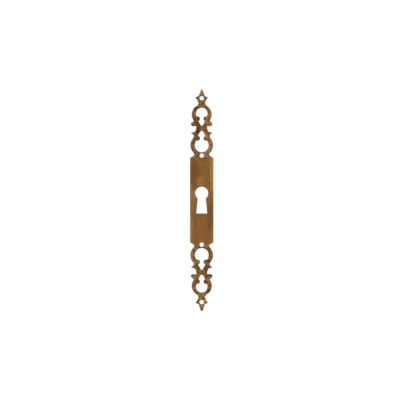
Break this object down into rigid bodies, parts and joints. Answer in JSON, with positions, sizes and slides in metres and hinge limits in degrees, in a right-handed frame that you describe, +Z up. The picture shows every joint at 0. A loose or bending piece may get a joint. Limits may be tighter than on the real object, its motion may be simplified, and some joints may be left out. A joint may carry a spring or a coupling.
{
  "type": "keyhole escutcheon",
  "caption": "Long narrow brass keyhole plate with pierced scroll ends, small crown and spear points, and screw holes on its middle line.",
  "frame": {"origin": "middle of the plate's flat back, on its middle line and halfway between its two points", "axes": "+Z up along the plate's length, with the keyhole's slot below its round part; +Y out of the back into the door, so the front faces -Y; +X to the right seen from the front"},
  "size_m": [0.0158, 0.0015, 0.15],
  "materials": {
    "aged_brass": "aged, brushed lengthwise"
  },
  "bodies": {
    "root": {"escutcheon_plate": "aged_brass"}
  },
  "joints": []
}
